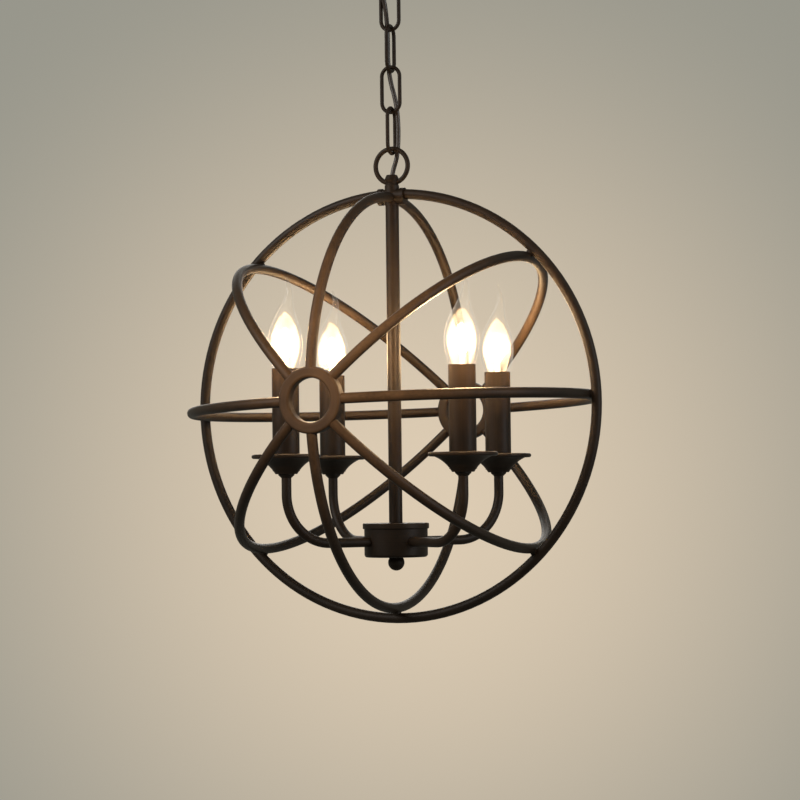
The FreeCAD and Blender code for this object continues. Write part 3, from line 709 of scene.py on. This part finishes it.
def make_drip_pan(number, material):
    """Cast dish with a rolled rim and a flat for the sleeve, on the arm's flange."""
    low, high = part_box(f"drip_pan_{number}")
    foot = Vector(((low.x + high.x) / 2, (low.y + high.y) / 2, low.z))
    height = high.z - low.z
    bead = Vector(((high.x - low.x) / 2 - pan_bead_radius, height - pan_bead_radius))
    under = bead + Vector((0, pan_wall - pan_bead_radius))
    over = under + Vector((0, pan_wall))
    outline = [Vector((pan_hole_radius, 0)), Vector((pan_foot_radius - 0.0004, 0))]
    outline += flare(Vector((pan_foot_radius, 0.0004)), under, pan_bulge)
    for step in range(pan_steps + 1):
        angle = math.radians(-160 + 320 * step / pan_steps)
        outline.append(bead + Vector((math.cos(angle), math.sin(angle))) * pan_bead_radius)
    outline += flare(over, Vector((pan_seat_radius, pan_seat_height)), -pan_bulge)
    outline += [Vector((pan_seat_radius, pan_seat_height)), Vector((pan_seat_radius, pan_floor_height))]
    outline += [Vector((pan_hole_radius, pan_floor_height)), outline[0]]
    points, faces = turned(outline, foot, pan_sides)
    pan = piece(f"dish_{number}", points, faces[:-2], material)
    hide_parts(f"drip_pan_{number}")
    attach(pan, "lamp")


# ======================= Stage =======================


def area_light(name, place, target, size, watts, colour):
    data = bpy.data.lights.new(name, "AREA")
    data.shape = "RECTANGLE"
    data.size, data.size_y = size
    data.energy = watts
    data.color = colour
    made = bpy.data.objects.new(name, data)
    bpy.context.scene.collection.objects.link(made)
    made.location = place
    made.rotation_mode = "QUATERNION"
    made.rotation_quaternion = (target - Vector(place)).to_track_quat("-Z", "Y")
    return made


def seen_directly(tree):
    """1 for a ray from the camera, or one mirrored or let through by the object."""
    path = tree.nodes.new("ShaderNodeLightPath")
    total = path.outputs["Is Camera Ray"]
    for name in ("Is Glossy Ray", "Is Transmission Ray"):
        total = maths(tree, "MAXIMUM", total, path.outputs[name])
    return total


def make_world():
    """Soft even light, in front of a plain warm grey wall with a painted pool of warm light behind the
    lamp.
    """
    world = bpy.data.worlds.new("studio")
    bpy.context.scene.world = world
    world.use_nodes = True
    tree = world.node_tree
    tree.nodes.clear()
    light = tree.nodes.new("ShaderNodeBackground")
    light.inputs["Color"].default_value = (*studio_colour, 1)
    light.inputs["Strength"].default_value = studio_strength
    camera = bpy.context.scene.camera
    # Painted pool of light: the backdrop is palest and warmest towards the lamp from the camera.
    painted_glow_way = (orb_centre + Vector(wall_painted_glow_shift) - camera.matrix_world.translation).normalized()
    way = tree.nodes.new("ShaderNodeTexCoord")
    near = tree.nodes.new("ShaderNodeVectorMath")
    near.operation = "DOT_PRODUCT"
    near.inputs[1].default_value = painted_glow_way
    link(tree, way.outputs["Generated"], near.inputs[0])
    angle = maths(tree, "ARCCOSINE", near.outputs["Value"])
    tone = tree.nodes.new("ShaderNodeValToRGB")
    link(tree, spread(tree, angle, 0.0, 1.0, 0.0, wall_painted_glow_angle), tone.inputs["Fac"])
    tone.color_ramp.interpolation = "EASE"
    tone.color_ramp.elements[0].color = (*wall_painted_glow_colour, 1)
    tone.color_ramp.elements[1].color = (*wall_colour, 1)
    wall = tree.nodes.new("ShaderNodeBackground")
    link(tree, tone.outputs["Color"], wall.inputs["Color"])
    mixed = tree.nodes.new("ShaderNodeMixShader")
    output = tree.nodes.new("ShaderNodeOutputWorld")
    link(tree, seen_directly(tree), mixed.inputs[0])
    link(tree, light.outputs[0], mixed.inputs[1])
    link(tree, wall.outputs[0], mixed.inputs[2])
    link(tree, mixed.outputs[0], output.inputs["Surface"])


def make_floor():
    """Plain pale floor far under the lamp, which fades into the backdrop."""
    made, tree, shader = new_material("floor")
    place = coordinates(tree, (1, 1, 0))
    distance = tree.nodes.new("ShaderNodeVectorMath")
    distance.operation = "LENGTH"
    link(tree, place, distance.inputs[0])
    grain = noise(tree, place, 6.0, 3.0)
    shade = [c * 0.94 for c in wall_colour]
    link(tree, two_tone(tree, grain, shade, wall_colour), shader.inputs["Base Color"])
    shader.inputs["Roughness"].default_value = 0.8
    clear = tree.nodes.new("ShaderNodeBsdfTransparent")
    fade = tree.nodes.new("ShaderNodeMixShader")
    fraction = spread(tree, distance.outputs["Value"], 0.0, 1.0, floor_solid_radius, floor_radius * 0.97)
    link(tree, fraction, fade.inputs[0])
    link(tree, shader.outputs[0], fade.inputs[1])
    link(tree, clear.outputs[0], fade.inputs[2])
    link(tree, fade.outputs[0], tree.nodes["Material Output"].inputs["Surface"])
    rim = [(0.001, 0.0), (floor_radius, 0.0)]
    points, faces = turned(rim, Vector((0, 0, floor_height)), 96)
    floor = piece("floor", points, faces[:-1], made)


studio_lights = [  # name, place, size, watts, colour
    ("key_light", (-1.9, -2.2, 0.9), (1.8, 1.8), 84.0, (1.0, 0.98, 0.95)),
    ("side_light", (2.6, -0.3, 0.1), (0.9, 2.4), 40.0, (0.93, 0.96, 1.0)),
    ("back_light", (-1.2, 2.6, 0.5), (2.0, 1.4), 32.0, (1.0, 0.97, 0.92)),
]


def make_lights():
    for name, place, size, watts, colour in studio_lights:
        area_light(name, place, orb_centre, size, watts, colour)
    # The bulbs' own light, thrown back by the room on to the front of the cage
    aim = orb_centre + Vector((0, 0, 0.05))
    warm = area_light("warm_light", warm_light_place, aim, (0.12, 0.08), 38.0, (1.0, 0.72, 0.44))
    shorten(warm.data, warm_light_reach)
    warm.visible_camera = False
    warm.visible_glossy = False
    warm.visible_transmission = False


# ======================= The whole =======================


def drawn(tree):
    """Lines drawn along Z."""
    return coordinates(tree, (900, 900, 30))


def spun_about(axis, origin):
    """Lines turned about an axis."""

    def grain(tree):
        place = lathe_coordinates(tree, axis, origin)
        fine = tree.nodes.new("ShaderNodeVectorMath")
        fine.operation = "SCALE"
        fine.inputs["Scale"].default_value = 1100.0
        link(tree, place, fine.inputs[0])
        return fine.outputs[0]

    return grain


def dress_frame(finishes):
    """Gives every node that shows its finish."""
    upright_axis = (0, 0, 1)
    for name in ("outer_ring", "vertical_ring", "horizontal_ring", "diagonal_ring_a", "diagonal_ring_b"):
        wear(name, finishes["bronze"])
    for name in ("ring_welds", "crown_joint", "lamp_loop", "ceiling_loop"):
        wear(name, finishes["bronze"])
    for n in bulb_numbers:
        wear(f"chain_link_{n}", finishes["bronze"])
        wear(f"arm_{n}", finishes["bronze"])
        place = sleeve_place(n)
        wear(f"candle_sleeve_{n}", finishes["drawn_bronze"])
        make_drip_pan(n, bronze(f"spun_bronze_{n}", spun_about(upright_axis, (place.x, place.y, 0))))
        wear(f"bulb_cap_{n}", finishes["brass"])
        wear(f"bulb_contact_{n}", finishes["brass"])
    hub = bronze("spun_bronze", spun_about(upright_axis, (0, 0, 0)))
    for name in ("canopy", "hub_lid", "hub_cup", "finial"):
        wear(name, hub)
    eye = bronze("turned_bronze", spun_about((0, 1, 0), orb_centre))
    for name in ("front_eye", "rear_eye"):
        wear(name, eye)
    wear("stem", finishes["drawn_bronze"])
    for name in ("ceiling_bar", "canopy_nipple", "canopy_nuts", "stem_nipples", "lamp_nuts"):
        wear(name, finishes["zinc"])
    for name in ("terminal_screws", "lampholder_contacts"):
        wear(name, finishes["brass"])
    wear("terminal_block", finishes["white"])
    wear("arm_leads", finishes["lead"])
    for name in ("cord_bushing", "lampholders"):
        wear(name, finishes["black"])


def main():
    bpy.context.scene.view_settings.view_transform = "Standard"
    make_camera()
    finishes = {
        "bronze": bronze("bronze"),
        "drawn_bronze": bronze("drawn_bronze", drawn),
        "zinc": plain_metal("zinc", *zinc_look),
        "brass": plain_metal("brass", *brass_look),
        "white": plastic("white_plastic", *white_look),
        "black": plastic("black_plastic", *black_look),
        "lead": plastic("lead_plastic", *lead_look),
        "cord": plastic("cord_plastic", *cord_look),
        "foot_glass": solid_glass("foot_glass"),
        "filament": lit_filament("filament"),
    }
    make_cord(finishes["cord"])
    dress_frame(finishes)
    for n in bulb_numbers:
        make_bulb(n, finishes)
    make_world()
    make_floor()
    make_lights()


main()
